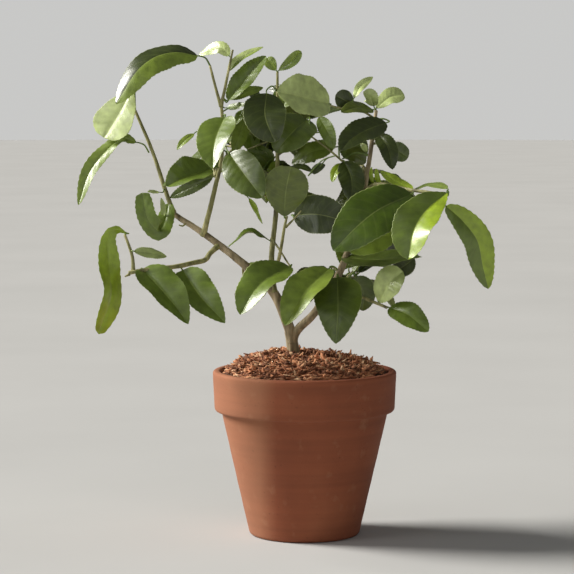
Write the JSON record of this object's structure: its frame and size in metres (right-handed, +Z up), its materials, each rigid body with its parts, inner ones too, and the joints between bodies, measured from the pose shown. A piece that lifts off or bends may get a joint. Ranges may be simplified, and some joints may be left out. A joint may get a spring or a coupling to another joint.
{
  "type": "potted lime tree",
  "caption": "Young lime tree with a short leaning trunk, open spreading boughs and large glossy leaves, standing in a round terracotta pot of bark mulch.",
  "frame": {"origin": "centre of the flat underside of the pot", "axes": "+Z up along the axis of the pot, which is the tallest extent; -Y towards the side the plant is seen from, +X to its right"},
  "size_m": [0.3493, 0.2251, 0.4173],
  "materials": {
    "terracotta": "matt unglazed",
    "potting_mix": "rough shredded bark",
    "bark": "fine vertical relief",
    "leaf": "glossy above, matt below"
  },
  "bodies": {
    "root": {"back_left_bough": "bark", "back_low_bough": "bark", "back_right_bough": "bark", "bough_left": "bark", "bough_right": "bark", "centre_front_stem": "bark", "centre_stem": "bark", "foliage_arch": "leaf", "foliage_back_left": "leaf", "foliage_back_low": "leaf", "foliage_back_middle": "leaf", "foliage_back_right": "leaf", "foliage_centre_front": "leaf", "foliage_centre_left": "leaf", "foliage_centre_low": "leaf", "foliage_centre_right": "leaf", "foliage_centre_top": "leaf", "foliage_centre_upright": "leaf", "foliage_far_left": "leaf", "foliage_far_right": "leaf", "foliage_front_left": "leaf", "foliage_front_middle": "leaf", "foliage_front_right": "leaf", "foliage_left_hanging": "leaf", "foliage_left_stub": "leaf", "foliage_left_upper": "leaf", "foliage_low_left": "leaf", "foliage_low_left_inner": "leaf", "foliage_low_right_tip": "leaf", "foliage_low_right_upper": "leaf", "foliage_ribbon": "leaf", "foliage_right_broad": "leaf", "foliage_right_folded": "leaf", "foliage_right_inner": "leaf", "foliage_right_level": "leaf", "foliage_right_outer": "leaf", "foliage_right_pale": "leaf", "foliage_right_top": "leaf", "foliage_right_top_front": "leaf", "foliage_right_top_outer": "leaf", "foliage_riser_front": "leaf", "foliage_riser_left": "leaf", "foliage_riser_low": "leaf", "foliage_riser_right": "leaf", "foliage_top_left": "leaf", "foliage_top_left_inner": "leaf", "foliage_top_left_outer": "leaf", "foliage_top_tip": "leaf", "foliage_twist": "leaf", "left_fork_front": "bark", "left_fork_rear": "bark", "left_leader": "bark", "left_riser": "bark", "low_left_bough": "bark", "low_left_shoot": "bark", "pot": "terracotta", "potting_mix": "potting_mix", "right_long_shoot": "bark", "right_low_shoot": "bark", "trunk": "bark"}
  },
  "joints": []
}
